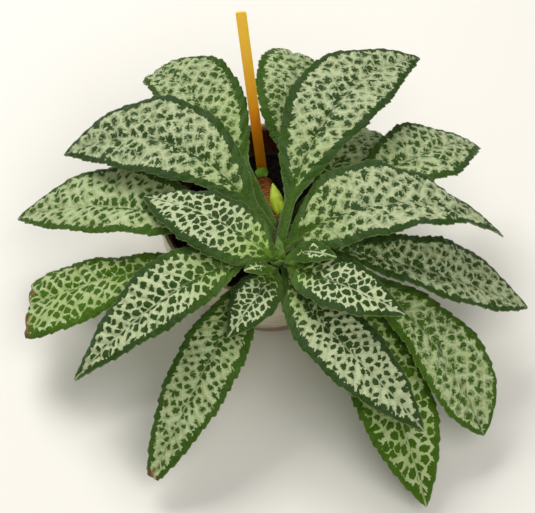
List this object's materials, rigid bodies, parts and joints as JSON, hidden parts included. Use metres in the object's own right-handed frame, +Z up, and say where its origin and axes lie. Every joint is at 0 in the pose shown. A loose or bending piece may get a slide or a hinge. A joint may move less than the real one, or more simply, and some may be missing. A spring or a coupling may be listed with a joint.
{
  "type": "potted plant",
  "caption": "Potted gesneriad: a rosette of toothed, silver-mottled leaves on a leaning stem, in a nursery pot inside a footed cream outer pot with a plain plant label.",
  "frame": {"origin": "centre of the outer pot's flat underside", "axes": "+Z up along the pots' axis; -Y towards the side the rosette leans to; +X to the right of a viewer at -Y"},
  "size_m": [0.3055, 0.2941, 0.1762],
  "materials": {
    "cream glaze": "glazed ceramic, satin",
    "maroon plastic": "glossy moulded plastic",
    "potting soil": "loose, matte",
    "ringed bark": "rough, ringed with leaf scars",
    "yellow plastic": "plain sheet, slightly translucent",
    "shoot green": "smooth, fleshy",
    "bud green": "downy",
    "sprout green": "smooth, fleshy",
    "leaf_a green": "downy, silver-mottled green",
    "leaf_b green": "downy, silver-mottled green",
    "leaf_c green": "downy, silver-mottled green",
    "leaf_d green": "downy, silver-mottled green",
    "leaf_e green": "downy, silver-mottled green",
    "leaf_f green": "downy, silver-mottled green",
    "leaf_g green": "downy, silver-mottled green",
    "leaf_h green": "downy, silver-mottled green",
    "leaf_i green": "downy, silver-mottled green",
    "leaf_j green": "downy, silver-mottled green",
    "leaf_k green": "downy, silver-mottled green",
    "leaf_l green": "downy, silver-mottled green",
    "leaf_m green": "downy, silver-mottled green",
    "leaf_n green": "downy, silver-mottled green",
    "leaf_o green": "downy, silver-mottled green",
    "leaf_p green": "downy, silver-mottled green",
    "leaf_q green": "downy, silver-mottled green",
    "leaf_r green": "downy, silver-mottled green",
    "leaf_s green": "downy, silver-mottled green",
    "leaf_t green": "downy, silver-mottled green"
  },
  "bodies": {
    "root": {"outer_pot": "cream glaze", "nursery_pot": "maroon plastic", "soil": "potting soil", "stem": "ringed bark", "plant_label": "yellow plastic", "side_shoot": "shoot green", "crown_bud": "bud green", "sprout": "sprout green", "leaf_a": "leaf_a green", "leaf_b": "leaf_b green", "leaf_c": "leaf_c green", "leaf_d": "leaf_d green", "leaf_e": "leaf_e green", "leaf_f": "leaf_f green", "leaf_g": "leaf_g green", "leaf_h": "leaf_h green", "leaf_i": "leaf_i green", "leaf_j": "leaf_j green", "leaf_k": "leaf_k green", "leaf_l": "leaf_l green", "leaf_m": "leaf_m green", "leaf_n": "leaf_n green", "leaf_o": "leaf_o green", "leaf_p": "leaf_p green", "leaf_q": "leaf_q green", "leaf_r": "leaf_r green", "leaf_s": "leaf_s green", "leaf_t": "leaf_t green"}
  },
  "joints": []
}
